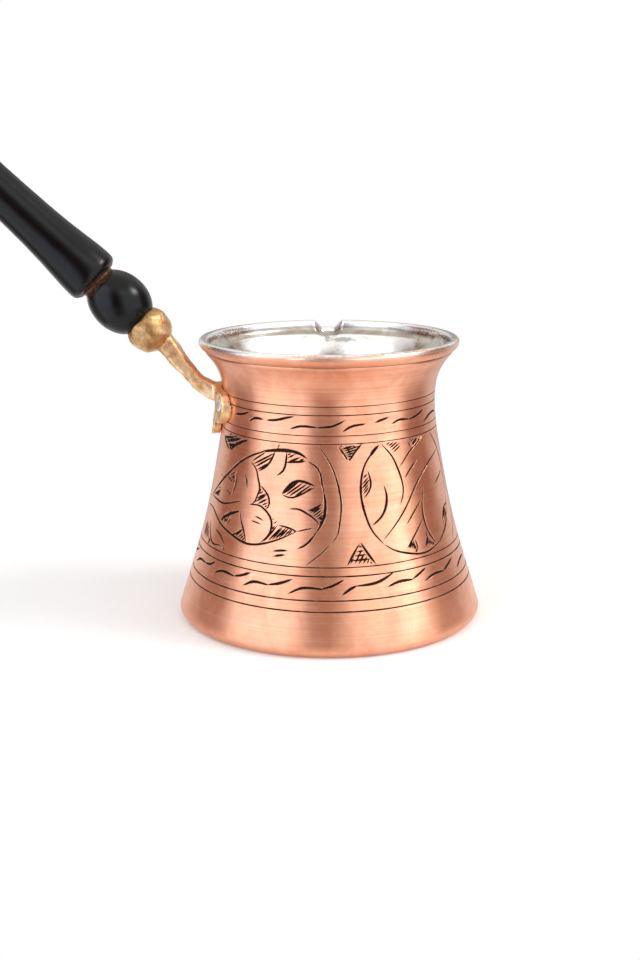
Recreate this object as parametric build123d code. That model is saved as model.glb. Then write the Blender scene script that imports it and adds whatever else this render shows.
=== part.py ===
from build123d import *
import os
from math import cos, hypot, radians, sin

# A small long-handled Turkish coffee pot (cezve), in millimetres, +Z up.
# Origin: centre of the base, on the surface the pot stands on.
# The handle leans out towards -X and the pouring lip faces +Y.

# ---------------------------------------------------------------- pot body
BASE_RADIUS = 42.5          # widest radius, just above the floor
BASE_ROUNDING = 2.6         # rounded edge between base and flank
WAIST_RADIUS = 29.2
WAIST_HEIGHT = 61.5
NECK_TOP = (34.2, 74.7)     # radius and height where the neck meets the lip
FLANK_POINTS = (            # outside of the wall from base to lip, as radius and height
    (BASE_RADIUS, BASE_ROUNDING),
    (38.3, 16),
    (33.9, 32),
    (30.75, 48),
    (WAIST_RADIUS, WAIST_HEIGHT),
    (30.35, 69),
    NECK_TOP,
)
FLANK_DIRECTIONS = [(-0.30, 1), (1, 1)]     # of the wall at its foot and under the lip
RIM_RADIUS = 35.7
RIM_HEIGHT = 78.3
LIP_HALF_THICKNESS = 1.2    # the lip is rounded over with this radius
WALL = 1.5                  # copper and tin together
FLOOR = 1.8
TIN = 0.2                   # thickness of the tin lining
TIN_EDGE_HEIGHT = 76.8      # the tin wraps over the lip down to here

# ------------------------------------------------------------- pouring lip
CHANNEL_FOOT = (28.9, 69.8)     # y and z where the pressed channel runs out
CHANNEL_MOUTH = (34.0, 78.9)    # y and z of its centre line at the rim
CHANNEL_FOOT_RADIUS = 0.4
CHANNEL_MOUTH_RADIUS = 3.5
CHANNEL_EXTENSION = 3.0         # the channel tool reaches this far above the rim
NOTCH_RADIUS = 4.2              # the rim dips in the channel in a round notch
NOTCH_DROP = 2.3

# ------------------------------------------------------------ brass bracket
PLATE = 2.4                 # thickness of the foot plate
BAND = (0.5, 0.95)          # the plate is cut from this stretch of the flank's length
WING_SPAN = 25.4
WING_HEIGHT = 8.6
WING_CENTRE_HEIGHT = 60.2
WING_CORNER = 4.0
TAIL_WIDTH = 7.6
TAIL_BOTTOM = 51.4
TAIL_CORNER = 2.8
ROOT_WIDTH = 10.0
ROOT_TOP = 65.4
ROOT_CORNER = 2.4
ARM_TOP_EDGE = ((-28, 65.4), (-33.6, 66.5), (-38.7, 72.2), (-42.0, 77.0), (-48, 82.0))     # x and z
ARM_LOW_EDGE = ((-28, 60.0), (-33.2, 61.0), (-39.7, 67.2), (-45.0, 72.6), (-49, 78.0))
ARM_WIDTH = 5.6
ARM_EDGE_ROUNDING = 1.3
BALL_RADIUS = 6.2
BALL_CENTRE = (-49.3, 80.2)  # x and z

# ----------------------------------------------------------------- rivets
RIVET_ANGLE = 17.5          # each side of the handle, seen from above
RIVET_HEIGHT = 61.0
RIVET_SHANK_RADIUS = 1.2
RIVET_HEAD_RADIUS = 2.0
RIVET_HEAD_HEIGHT = 0.9
RIVET_DOME_RADIUS = 3.7     # the head is part of a ball this size
RIVET_INNER_HEAD_RADIUS = 2.3
RIVET_HOLE_CLEARANCE = 0.02
SPOTFACE_RADIUS = 2.5
SPOTFACE_DEPTH = 0.5

# ------------------------------------------------------------------ handle
HANDLE_START = (-51.75, 82.7)   # x and z of the face where wood meets brass
HANDLE_ELEVATION = 43.9         # degrees above the horizontal
STUD_RADIUS = 2.5
STUD_IN_BALL = 7.0
STUD_IN_WOOD = 26.0
STUD_CHAMFER = 0.6
STUD_CLEARANCE = 0.05
BEAD_RADIUS = 8.0
BEAD_END_RADII = (5.2, 5.4)     # where the bead meets the brass and the groove
BEAD_LENGTH = 14.4
BEAD_WIDEST = 0.52              # the share of its length at which the bead is widest
BEAD_DIRECTIONS = [(0.75, 0.7), (-0.8, 0.9)]
GROOVE_RADIUS = 5.1
GROOVE_WIDTH = 1.1
GRIP_LENGTH = 104.0             # whole wooden piece, bead included
SHOULDER_RADII = (6.0, 7.3, 7.7)    # from the groove to the widest place after it
SHOULDER_HEIGHT = 3.0
GRIP_WAIST = ((6.9, 28.1), (6.0, 44), (5.8, 60), (6.7, 76))    # radius, distance from the brass
GRIP_DIRECTIONS = [(-0.02, 1), (0, 1)]
GRIP_SWELL = (7.6, 90.0)        # the widest place near the end
GRIP_END_RADIUS = 3.4

# -------------------------------------------------------------- hanging eye
EYE_WIRE_RADIUS = 1.1
EYE_LOOP_RADIUS = 4.4           # to the centre of the wire
EYE_SHANK_IN_WOOD = 12.0
EYE_NECK = 1.2                  # bare shank between wood and loop
EYE_SWEEP = 325.0               # the loop stops just short of closing

OVERSHOOT = 20.0                # how far cutting tools run past what they cut

HANDLE_PLANE = Plane(
    origin=(HANDLE_START[0], 0, HANDLE_START[1]),
    x_dir=(0, 1, 0),
    z_dir=(-cos(radians(HANDLE_ELEVATION)), 0, sin(radians(HANDLE_ELEVATION))),
)


# ----------------------------------------------------------------- helpers
def disc(radius, low, high):
    """A round bar about Z between two heights."""
    return Pos(0, 0, low) * Cylinder(radius, high - low, align=(Align.CENTER, Align.CENTER, Align.MIN))


def along_handle(solid):
    """Stands a solid made about Z on the brass ball, along the handle."""
    return HANDLE_PLANE * solid


# ------------------------------------------------- pot body and its lining
def flank():
    """Outside of the wall from the base rounding up to the lip, as radius and height."""
    return Spline(*FLANK_POINTS, tangents=FLANK_DIRECTIONS)


def beside_flank(distance, first=0.0, last=1.0, count=9):
    """A smooth curve along part of the flank, this far outside it (or inside, if negative)."""
    wall = flank()
    points = []
    for i in range(count):
        t = first + (last - first) * i / (count - 1)
        along = wall % t
        outward = Vector(along.Y, -along.X)
        points.append((wall @ t) + outward * distance)
    return Spline(*points, tangents=[wall % first, wall % last])


def turned(outline):
    """Closes a half outline against the axis and turns it into a solid about Z."""
    return revolve(Plane.XZ * make_face(outline), Axis.Z)


def outside(inset=0.0):
    """The pot as a filled solid, with its skin taken in by the inset."""
    side = flank() if inset == 0 else beside_flank(-inset)
    base_edge = (BASE_RADIUS - BASE_ROUNDING, inset)
    top = RIM_HEIGHT - inset
    over = LIP_HALF_THICKNESS - inset
    lip_low = (RIM_RADIUS - inset, RIM_HEIGHT - LIP_HALF_THICKNESS)
    lip_middle = (
        RIM_RADIUS - LIP_HALF_THICKNESS + over * cos(radians(45)),
        RIM_HEIGHT - LIP_HALF_THICKNESS + over * sin(radians(45)),
    )
    lip_top = (RIM_RADIUS - LIP_HALF_THICKNESS, top)
    outline = [
        Line((0, inset), base_edge),
        TangentArc(base_edge, side @ 0, tangent=(1, 0)),
        side,
        Line(side @ 1, lip_low),
        ThreePointArc(lip_low, lip_middle, lip_top),
        Line(lip_top, (0, top)),
        Line((0, top), (0, inset)),
    ]
    return turned(outline) + channel(WALL - inset)


def cavity(growth=0.0):
    """The space inside the tin lining, or inside the copper when grown by the tin."""
    wall = beside_flank(growth - WALL)
    corner = BASE_ROUNDING
    low = FLOOR - growth
    floor_edge = ((wall @ 0).X - corner, low)
    top_inside = (RIM_RADIUS - 2 * LIP_HALF_THICKNESS + growth, RIM_HEIGHT - LIP_HALF_THICKNESS)
    top = RIM_HEIGHT + OVERSHOOT
    outline = [
        Line((0, low), floor_edge),
        TangentArc(floor_edge, wall @ 0, tangent=(1, 0)),
        wall,
        Line(wall @ 1, top_inside),
        Line(top_inside, (top_inside[0], top)),
        Line((top_inside[0], top), (0, top)),
        Line((0, top), (0, low)),
    ]
    return turned(outline) + channel(growth)


def channel(growth):
    """The round tapered tool that presses the pouring channel outwards."""
    along_y = CHANNEL_MOUTH[0] - CHANNEL_FOOT[0]
    along_z = CHANNEL_MOUTH[1] - CHANNEL_FOOT[1]
    length = hypot(along_y, along_z)
    taper = (CHANNEL_MOUTH_RADIUS - CHANNEL_FOOT_RADIUS) / length
    full = length + CHANNEL_EXTENSION
    tool = Cone(
        CHANNEL_FOOT_RADIUS + growth,
        CHANNEL_FOOT_RADIUS + growth + taper * full,
        full,
        align=(Align.CENTER, Align.CENTER, Align.MIN),
    )
    foot = Plane(origin=(0, *CHANNEL_FOOT), x_dir=(1, 0, 0), z_dir=(0, along_y, along_z))
    return foot * tool


def notch(growth=0.0):
    """The dip in the rim across the channel, and everything above the rim beside it."""
    centre = RIM_HEIGHT - NOTCH_DROP + NOTCH_RADIUS
    dip = Cylinder(NOTCH_RADIUS + growth, OVERSHOOT, rotation=(90, 0, 0))
    above = Box(2 * OVERSHOOT, OVERSHOOT, OVERSHOOT, align=(Align.CENTER, Align.CENTER, Align.MIN))
    middle = RIM_RADIUS
    return Pos(0, middle, centre) * dip + Pos(0, middle, RIM_HEIGHT - growth) * above


def slab(low, high):
    """A wide block between two heights."""
    wide = 4 * BASE_RADIUS
    return Pos(0, 0, low) * Box(wide, wide, high - low, align=(Align.CENTER, Align.CENTER, Align.MIN))


def radial(angle, height):
    """A plane on the pot's axis whose Z points straight out at this angle and height."""
    out = (cos(radians(angle)), sin(radians(angle)), 0)
    return Plane(origin=(0, 0, height), x_dir=(0, 0, 1), z_dir=out)


def rivet_places():
    """Names and outward planes of the two rivets, either side of the handle."""
    return {
        "rivet_right": radial(180 + RIVET_ANGLE, RIVET_HEIGHT),
        "rivet_left": radial(180 - RIVET_ANGLE, RIVET_HEIGHT),
    }


def rivet_holes():
    """Round holes for both rivet shanks, through plate and wall."""
    hole = disc(RIVET_SHANK_RADIUS + RIVET_HOLE_CLEARANCE, 0, BASE_RADIUS)
    places = list(rivet_places().values())
    return places[0] * hole + places[1] * hole


def make_pot():
    """The spun copper body and the tin that lines it and wraps over its lip."""
    skin = outside() - notch()
    core = outside(TIN) - notch(TIN)
    below = skin & slab(-1, TIN_EDGE_HEIGHT)
    above = core & slab(TIN_EDGE_HEIGHT, RIM_HEIGHT)
    holes = rivet_holes()
    copper = (below + above) - cavity(TIN)
    tin = (skin - cavity()) - copper
    return copper - holes, tin - holes


# ----------------------------------------------------------- brass bracket
def wall_radius(height):
    """Outside radius of the pot at this height."""
    crossing = flank().find_intersection_points(Axis((0, height), (1, 0)))
    return crossing[0].X


def plate_radius():
    """Outside radius of the foot plate at the height of the rivets."""
    return wall_radius(RIVET_HEIGHT) + PLATE


def foot_plate():
    """The saddle that wraps the neck: two wings, a root for the arm and a tail."""
    inner = beside_flank(0, *BAND)
    outer = beside_flank(PLATE, *BAND)
    band = turned([inner, outer, Line(inner @ 0, outer @ 0), Line(inner @ 1, outer @ 1)])
    tail_height = WING_CENTRE_HEIGHT - TAIL_BOTTOM
    root_height = ROOT_TOP - WING_CENTRE_HEIGHT
    wings = Pos(0, WING_CENTRE_HEIGHT) * RectangleRounded(WING_SPAN, WING_HEIGHT, WING_CORNER)
    tail = Pos(0, TAIL_BOTTOM + tail_height / 2) * RectangleRounded(
        TAIL_WIDTH, tail_height, TAIL_CORNER
    )
    root = Pos(0, ROOT_TOP - root_height / 2) * RectangleRounded(
        ROOT_WIDTH, root_height, ROOT_CORNER
    )
    outline = wings + tail + root
    return band & extrude(Plane.YZ * outline, amount=-BASE_RADIUS)


def arm():
    """The cast arm between foot and ball: a curved side view given an even width."""
    top_edge = Spline(*ARM_TOP_EDGE)
    low_edge = Spline(*ARM_LOW_EDGE)
    side = make_face([
        top_edge,
        low_edge,
        Line(top_edge @ 0, low_edge @ 0),
        Line(top_edge @ 1, low_edge @ 1),
    ])
    body = extrude(Plane.XZ * side, amount=ARM_WIDTH / 2, both=True)
    long_edges = body.edges().filter_by(GeomType.BSPLINE)
    return fillet(long_edges, ARM_EDGE_ROUNDING)


def make_bracket():
    """One brass casting: foot plate, arm and the ball that takes the handle's stud."""
    ball = Pos(BALL_CENTRE[0], 0, BALL_CENTRE[1]) * Sphere(BALL_RADIUS)
    above_face = HANDLE_PLANE * Box(
        4 * BALL_RADIUS,
        4 * BALL_RADIUS,
        4 * BALL_RADIUS,
        align=(Align.CENTER, Align.CENTER, Align.MIN),
    )
    head = (ball + arm()) - above_face
    stud_hole = along_handle(disc(STUD_RADIUS + STUD_CLEARANCE, -STUD_IN_BALL, OVERSHOOT))
    plate_face = plate_radius()
    spotface = disc(SPOTFACE_RADIUS, plate_face - SPOTFACE_DEPTH, plate_face + PLATE)
    bracket = (foot_plate() + head) - outside() - stud_hole - rivet_holes()
    for place in rivet_places().values():
        bracket -= place * spotface
    return bracket


# ----------------------------------------------------------------- rivets
def make_rivet(place, pot):
    """A rivet with a low domed head on the plate and a flattened head inside the pot."""
    seat = plate_radius() - SPOTFACE_DEPTH
    crown = seat + RIVET_HEAD_HEIGHT
    wall_inside = wall_radius(RIVET_HEIGHT) - WALL
    bottom = wall_inside - RIVET_HEAD_HEIGHT
    shank = disc(RIVET_SHANK_RADIUS, bottom, seat + RIVET_HEAD_HEIGHT / 2)
    dome = Pos(0, 0, crown - RIVET_DOME_RADIUS) * Sphere(RIVET_DOME_RADIUS)
    head = disc(RIVET_HEAD_RADIUS, seat, crown) & dome
    inner_head = disc(RIVET_INNER_HEAD_RADIUS, bottom, wall_inside + TIN)
    rivet = place * (shank + head + inner_head)
    for metal in pot:
        rivet -= metal
    return rivet


# ------------------------------------------------------------------ handle
def make_stud():
    """The steel stud that screws into the ball and runs up inside the wood."""
    rod = disc(STUD_RADIUS, -STUD_IN_BALL, STUD_IN_WOOD)
    ends = rod.edges().filter_by(GeomType.CIRCLE)
    return along_handle(chamfer(ends, STUD_CHAMFER))


def make_grip():
    """The turned wooden grip: an egg-shaped bead, a groove and a long waisted body."""
    bead = Spline(
        (BEAD_END_RADII[0], 0),
        (BEAD_RADIUS, BEAD_WIDEST * BEAD_LENGTH),
        (BEAD_END_RADII[1], BEAD_LENGTH),
        tangents=BEAD_DIRECTIONS,
    )
    groove_end = BEAD_LENGTH + GROOVE_WIDTH
    shoulder = ThreePointArc(
        (SHOULDER_RADII[0], groove_end),
        (SHOULDER_RADII[1], groove_end + SHOULDER_HEIGHT / 3),
        (SHOULDER_RADII[2], groove_end + SHOULDER_HEIGHT),
    )
    body = Spline(shoulder @ 1, *GRIP_WAIST, GRIP_SWELL, tangents=GRIP_DIRECTIONS)
    swell_radius, swell_height = GRIP_SWELL
    end = ThreePointArc(
        body @ 1,
        (0.9 * swell_radius, (swell_height + 2 * GRIP_LENGTH) / 3),
        (GRIP_END_RADIUS, GRIP_LENGTH),
    )
    outline = [
        Line((0, 0), bead @ 0),
        bead,
        Line(bead @ 1, (GROOVE_RADIUS, BEAD_LENGTH)),
        Line((GROOVE_RADIUS, BEAD_LENGTH), (GROOVE_RADIUS, groove_end)),
        Line((GROOVE_RADIUS, groove_end), shoulder @ 0),
        shoulder,
        body,
        end,
        Line(end @ 1, (0, GRIP_LENGTH)),
        Line((0, GRIP_LENGTH), (0, 0)),
    ]
    stud_bore = disc(STUD_RADIUS + STUD_CLEARANCE, 0, STUD_IN_WOOD + STUD_CLEARANCE)
    eye_bottom = GRIP_LENGTH - EYE_SHANK_IN_WOOD
    eye_bore = disc(EYE_WIRE_RADIUS + STUD_CLEARANCE, eye_bottom - STUD_CLEARANCE, GRIP_LENGTH)
    return along_handle(turned(outline) - stud_bore - eye_bore)


def make_hanging_eye():
    """A bent-wire screw eye in the end of the grip, its loop in the plane of the handle."""
    base = GRIP_LENGTH + EYE_NECK
    centre = base + EYE_WIRE_RADIUS + EYE_LOOP_RADIUS
    shank = disc(EYE_WIRE_RADIUS, GRIP_LENGTH - EYE_SHANK_IN_WOOD, base + EYE_WIRE_RADIUS)
    wire = Plane.XZ * Pos(0, centre - EYE_LOOP_RADIUS) * Circle(EYE_WIRE_RADIUS)
    loop_axis = Axis((0, 0, centre), (1, 0, 0))
    loop = revolve(wire, loop_axis, revolution_arc=EYE_SWEEP)
    return along_handle(shank + loop)


def main():
    copper, tin = make_pot()
    nodes = {
        "copper_body": copper,
        "tin_lining": tin,
        "handle_bracket": make_bracket(),
        "handle_stud": make_stud(),
        "wood_grip": make_grip(),
        "hanging_eye": make_hanging_eye(),
    }
    for name, place in rivet_places().items():
        nodes[name] = make_rivet(place, (copper, tin))
    os.makedirs("parts", exist_ok=True)
    for name, solid in nodes.items():
        export_step(solid, f"parts/{name}.step")


main()
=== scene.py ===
import math
import random

import bmesh
import bpy
import numpy as np
from mathutils import Matrix, Vector, noise
from mathutils.geometry import delaunay_2d_cdt


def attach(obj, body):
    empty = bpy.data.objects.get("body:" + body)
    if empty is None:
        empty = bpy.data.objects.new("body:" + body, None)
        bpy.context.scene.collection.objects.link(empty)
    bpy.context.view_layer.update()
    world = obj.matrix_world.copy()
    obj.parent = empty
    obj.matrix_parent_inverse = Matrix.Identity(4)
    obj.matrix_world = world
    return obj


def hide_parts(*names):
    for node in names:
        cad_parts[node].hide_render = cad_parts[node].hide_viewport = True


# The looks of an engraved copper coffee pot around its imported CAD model.
# Shapes are worked out in millimetres and written to meshes in metres.
# On the pot, an angle is counted from the front (-Y) towards +X, in degrees.

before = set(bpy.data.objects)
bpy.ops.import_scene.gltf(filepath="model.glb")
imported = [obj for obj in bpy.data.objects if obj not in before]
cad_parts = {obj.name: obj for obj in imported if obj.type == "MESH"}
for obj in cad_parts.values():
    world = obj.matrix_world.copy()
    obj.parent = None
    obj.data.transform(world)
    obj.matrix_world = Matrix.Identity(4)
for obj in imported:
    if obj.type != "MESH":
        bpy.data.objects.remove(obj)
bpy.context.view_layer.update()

MM = 0.001
DICE = random.Random(11)        # the one source of random draws
SAME_PLACE = 3e-6               # points closer than this are joined, in metres

# ------------------------------------------------------------------ pot body
BASE_RADIUS = 42.5
BASE_ROUNDING = 2.6
FLANK = (                       # outside of the wall, as radius and height
    (BASE_RADIUS, BASE_ROUNDING), (38.3, 16), (33.9, 32), (30.75, 48),
    (29.2, 61.5), (30.35, 69), (34.2, 74.7),
)
FLANK_START, FLANK_END = (-0.30, 1.0), (1.0, 1.0)     # its directions at both ends
LIP_SIDE = (35.7, 77.1)         # radius and height where the lip is widest
LIP_ROUNDING = 1.2
RIM_HEIGHT = 78.3
LIP_UNDERSIDE = np.array([(34.95, 75.6), (35.4, 76.2), (35.64, 76.7), LIP_SIDE])
NECK_END = 74.3                 # the wall runs up to here below the crease
CREASE_HEIGHT = 74.85           # a turned line under the lip
CREASE_RADIUS = FLANK[-1][0] - 0.35     # at its bottom
CREASE_SHAPE = ((0.05, -0.30), (0, 0), (0.45, 0.25))    # out and up from there
CREASE_SHADE = 0.027           # painted shade: it is darkened like a cut of this depth
WALL = 1.5                      # copper and tin together
FLOOR = 1.8
BASE_DISH = ((0, 0.5), (10, 0.5), (22, 0.47), (33, 0.3), (37.5, 0.08))     # hollow under the base
INNER_BEND = 4                  # steps of the wall's path that the bend under the lip takes up
FLARE_LOW = 66.0                # above this the inside of the wall is seen, and has finer rows
FLOOR_RINGS = (30, 22, 14, 7, 3, 0)     # radii of the rows of points across the floor
ROWS = {                        # rows of points along each other stretch of the outline
    "lip": 15, "neck": 12, "bend": 5, "flare": 22, "inside": 34, "corner": 6, "edge": 9, "foot": 6,
}

# ------------------------------------------------------------ the tin's shape
TIN = 0.2
TIN_PROUD = 0.05                # the tin stands this far above the copper on the lip
TIN_FEATHER = 0.02              # and this much less at its worn edge
TIN_EDGE = 76.75                # it wraps over the lip down to about here
TIN_EDGE_WORN = (45.0, 0.75)    # the angle where it is worn most, and how much further up it ends
TIN_EDGE_RAGGED = ((4, 0.30), (20, 0.22))   # unevenness: waves round the pot and their height
SKIRT_ROWS = 6
WORN_BAND = 0.9                 # copper shows through the tin this far in from the lip's side
WORN_HEIGHT = 1.1               # and this far up from the edge
BAND_UNDER_LIP = (74.2, 76.9)     # tarnish and a painted dark reflection make the tin dull between these heights, under the lip
TARNISH_SIDES = 25.0            # and mottled further than this from the middle
SPOUT_STREAKS = (                     # angle, height and half size of the darker streaks painted at the spout
    (172.0, 73.0, 9.0, 0.75),
    (180.6, 74.6, 2.0, 2.6),
)

# ----------------------------------------------------------------- the spout
SPOUT_ANGLE = 180.0
SPOUT_FOOT_HEIGHT = 70.5
SPOUT_REACH = 2.6               # how far the channel stands out of the rim
SPOUT_HALF_WIDTH = (1.4, 4.6)   # at its foot and at the rim
NOTCH_DROP = 2.4
NOTCH_FLAT = 2.6                # width of the bottom of the notch
NOTCH_WIDTH = 8.8               # width of the notch at the rim
NOTCH_FOOT_HEIGHT = 72.5        # below this the wall doesn't feel the notch
SPOUT_ZONE = 14.0               # the columns of points are closer together this near to the spout
COLUMN_STEP, SPOUT_STEP = 2.0, 0.5

# ----------------------------------------------------------------- engraving
STRIP_LOW, STRIP_HIGH = 10.0, 66.0      # heights between which the wall is engraved
SEAM = -90.0                            # the engraved strip is cut open here
STRIP_RADIUS = 34.0                     # flattens angles to millimetres
STRIP_ROWS = 29
CUT_WIDTH = 1.36                        # widens every stroke and hatch line drawn below
STROKE_DEPTH = 0.30                     # depth of a cut as a share of its width
LINE_STEP = 1.1                         # spacing of points along a cut
DARK_DEPTH = 0.075                      # a cut this deep is filled with patina
RING_LINES = (                          # height and width of each line turned round the pot
    (63.95, 0.21), (61.7, 0.25), (56.4, 0.22), (54.3, 0.24),
    (23.0, 0.28), (20.8, 0.32), (14.8, 0.32), (12.05, 0.31),
)
RING_WAVER, STROKE_WAVER = 0.34, 0.16   # how unevenly lines and strokes are cut
STROKE_TIP = 0.08                       # width of a stroke at its ends, as a share
FLAT_DEPTH = 0.012                      # faces deeper than this are shaded flat, as cut metal


# ------------------------------------------------------------------- helpers
def unit(vector):
    vector = np.asarray(vector, float)
    return vector / np.linalg.norm(vector)


def smoothstep(t):
    t = np.clip(t, 0.0, 1.0)
    return t * t * (3 - 2 * t)


def cubic_through(points, start, end, count):
    """Evenly spaced points on the smooth curve through these, with set end directions."""
    knots = np.array(points, float)
    chords = np.linalg.norm(np.diff(knots, axis=0), axis=1)
    last = len(knots) - 1
    system = np.eye(last + 1)
    wanted = np.zeros_like(knots)
    wanted[0], wanted[last] = unit(start), unit(end)
    for i in range(1, last):
        before, after = chords[i - 1], chords[i]
        system[i, i - 1:i + 2] = after, 2 * (before + after), before
        arriving, leaving = knots[i] - knots[i - 1], knots[i + 1] - knots[i]
        wanted[i] = 3 * (after * arriving / before + before * leaving / after)
    slopes = np.linalg.solve(system, wanted)
    pieces = []
    for i, chord in enumerate(chords):
        t = np.linspace(0, 1, 60, endpoint=(i == last - 1))[:, None]
        pieces.append(
            (2 * t**3 - 3 * t**2 + 1) * knots[i] + (t**3 - 2 * t**2 + t) * chord * slopes[i]
            + (3 * t**2 - 2 * t**3) * knots[i + 1] + (t**3 - t**2) * chord * slopes[i + 1]
        )
    return evenly(np.vstack(pieces), count)


def evenly(path, count):
    """The same path with this many points, equally far apart."""
    path = np.asarray(path, float)
    travelled = np.concatenate([[0], np.cumsum(np.linalg.norm(np.diff(path, axis=0), axis=1))])
    wanted = np.linspace(0, travelled[-1], count)
    return np.column_stack([np.interp(wanted, travelled, path[:, k]) for k in range(path.shape[1])])


def arc(centre, radius, first, last, count):
    """Points on a round arc in a half outline, angles in degrees from straight out."""
    turns = np.radians(np.linspace(first, last, count))
    return np.column_stack([centre[0] + radius * np.cos(turns), centre[1] + radius * np.sin(turns)])


def beside(path, distance):
    """A path moved sideways to its right by this distance."""
    along = np.gradient(path, axis=0)
    along /= np.linalg.norm(along, axis=1)[:, None]
    return path + distance * np.column_stack([along[:, 1], -along[:, 0]])


FLANK_PATH = cubic_through(FLANK, FLANK_START, FLANK_END, 400)
FLANK_SLOPE = np.gradient(FLANK_PATH[:, 0]) / np.gradient(FLANK_PATH[:, 1])


def wall_radius(height):
    return np.interp(height, FLANK_PATH[:, 1], FLANK_PATH[:, 0])


def wall_slope(height):
    """How fast the radius grows with height."""
    return np.interp(height, FLANK_PATH[:, 1], FLANK_SLOPE)


def round_pot(angle, radius, height):
    """Points on the pot in space, in millimetres, from angles, radii and heights."""
    turn = np.radians(angle)
    return np.column_stack([radius * np.sin(turn), -radius * np.cos(turn), height])


def new_mesh(name, points, faces):
    """A mesh from points in millimetres."""
    mesh = bpy.data.meshes.new(name)
    mesh.from_pydata([tuple(p) for p in np.asarray(points) * MM], [], faces)
    return mesh


def new_object(name, data):
    """An object of this mesh or camera, in the scene."""
    made = bpy.data.objects.new(name, data)
    bpy.context.scene.collection.objects.link(made)
    return made


def finish_piece(piece, replaced, material):
    """Gives a piece its material, hangs it under the root body and hides the CAD nodes it replaces.
    """
    piece.data.materials.clear()
    piece.data.materials.append(material)
    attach(piece, "root")
    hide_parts(*replaced)


def smooth(mesh):
    mesh.polygons.foreach_set("use_smooth", [True] * len(mesh.polygons))


def store(mesh, name, values):
    """Keeps a number for each point of a mesh, for its material to read."""
    made = mesh.attributes.new(name, "FLOAT", "POINT")
    made.data.foreach_set("value", np.ascontiguousarray(values, np.float32))


def read(collection, key, width=1, kind=np.float32):
    """One row of numbers for each item of a mesh's collection."""
    values = np.zeros(len(collection) * width, kind)
    collection.foreach_get(key, values)
    return values.reshape(-1, width) if width > 1 else values


def weld(mesh, distance):
    """Joins points that lie within this distance of each other, in metres."""
    work = bmesh.new()
    work.from_mesh(mesh)
    bmesh.ops.remove_doubles(work, verts=work.verts, dist=distance)
    bmesh.ops.recalc_face_normals(work, faces=work.faces)
    work.to_mesh(mesh)
    work.free()


# --------------------------------------------------------- the turned outline
def lip_path(inset):
    """The lip from under its widest place, over the top, to its inner edge."""
    out, height = LIP_SIDE
    centre = (out - LIP_ROUNDING, height)
    return arc(centre, LIP_ROUNDING - inset, 0, 180, ROWS["lip"])


def outer_top_path(inset):
    """From the engraved strip up the neck, over the crease, to the side of the lip."""
    neck = FLANK_PATH[(FLANK_PATH[:, 1] > STRIP_HIGH) & (FLANK_PATH[:, 1] < NECK_END)]
    neck = np.vstack([[wall_radius(STRIP_HIGH), STRIP_HIGH], evenly(neck, ROWS["neck"])])
    crease = [(CREASE_RADIUS + out, CREASE_HEIGHT + up) for out, up in CREASE_SHAPE]
    return np.vstack([neck, crease, LIP_UNDERSIDE[:-1] - (inset, 0)])


def inner_path(inset):
    """From the inner edge of the lip down the inside of the wall to the middle of the floor."""
    edge = np.array([LIP_SIDE[0] - 2 * LIP_ROUNDING + inset, LIP_SIDE[1]])
    wall = beside(FLANK_PATH, inset - WALL)[::-1]
    corner, wall = wall[0], wall[INNER_BEND:]
    t = np.linspace(0, 1, ROWS["bend"])[:, None]
    bend = (1 - t) ** 2 * (edge + corner) / 2 + 2 * t * (1 - t) * corner + t ** 2 * wall[0]
    flare = wall[wall[:, 1] > FLARE_LOW]
    rest = wall[wall[:, 1] <= FLARE_LOW]
    low = FLOOR - inset
    foot = rest[-1]
    centre = (foot[0] - BASE_ROUNDING, low + BASE_ROUNDING)
    bottom = arc(centre, BASE_ROUNDING, -10, -90, ROWS["corner"])
    across = [(r, low) for r in FLOOR_RINGS]
    flare, rest = evenly(flare, ROWS["flare"]), evenly(rest, ROWS["inside"])
    return np.vstack([[edge], bend, flare[1:], rest[:-1], bottom, across])


def base_path():
    """From the middle of the base out to its rounded edge and up to the engraved strip."""
    centre = (BASE_RADIUS - BASE_ROUNDING, BASE_ROUNDING)
    edge = arc(centre, BASE_ROUNDING, -90, 0, ROWS["edge"])
    foot = evenly(FLANK_PATH[FLANK_PATH[:, 1] < STRIP_LOW], ROWS["foot"])
    return np.vstack([BASE_DISH, edge, foot[1:-1], [wall_radius(STRIP_LOW), STRIP_LOW]])


def spout(angle, radius, height):
    """Moves points of the wall for the pressed channel and the notch in the rim."""
    aside = np.abs(np.radians(angle - SPOUT_ANGLE)) * radius
    rise = smoothstep((height - SPOUT_FOOT_HEIGHT) / (RIM_HEIGHT - SPOUT_FOOT_HEIGHT))
    narrow, wide = SPOUT_HALF_WIDTH
    half_width = narrow + (wide - narrow) * rise
    bulge = np.clip(1 - (aside / half_width) ** 2, 0, 1) ** 1.5
    dip = smoothstep((NOTCH_WIDTH / 2 - aside) / (NOTCH_WIDTH / 2 - NOTCH_FLAT / 2))
    near_rim = smoothstep((height - NOTCH_FOOT_HEIGHT) / (RIM_HEIGHT - NOTCH_FOOT_HEIGHT))
    return radius + SPOUT_REACH * rise * bulge, height - NOTCH_DROP * dip * near_rim


def turn_columns():
    """Angles of the columns of points around the pot, closer together at the spout."""
    first, last = SPOUT_ANGLE - SPOUT_ZONE, SPOUT_ANGLE + SPOUT_ZONE
    before = np.arange(SEAM, first, COLUMN_STEP)
    near_spout = np.arange(first, last, SPOUT_STEP)
    after = np.arange(last, SEAM + 360.1, COLUMN_STEP)
    return np.concatenate([before, near_spout, after])


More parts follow.
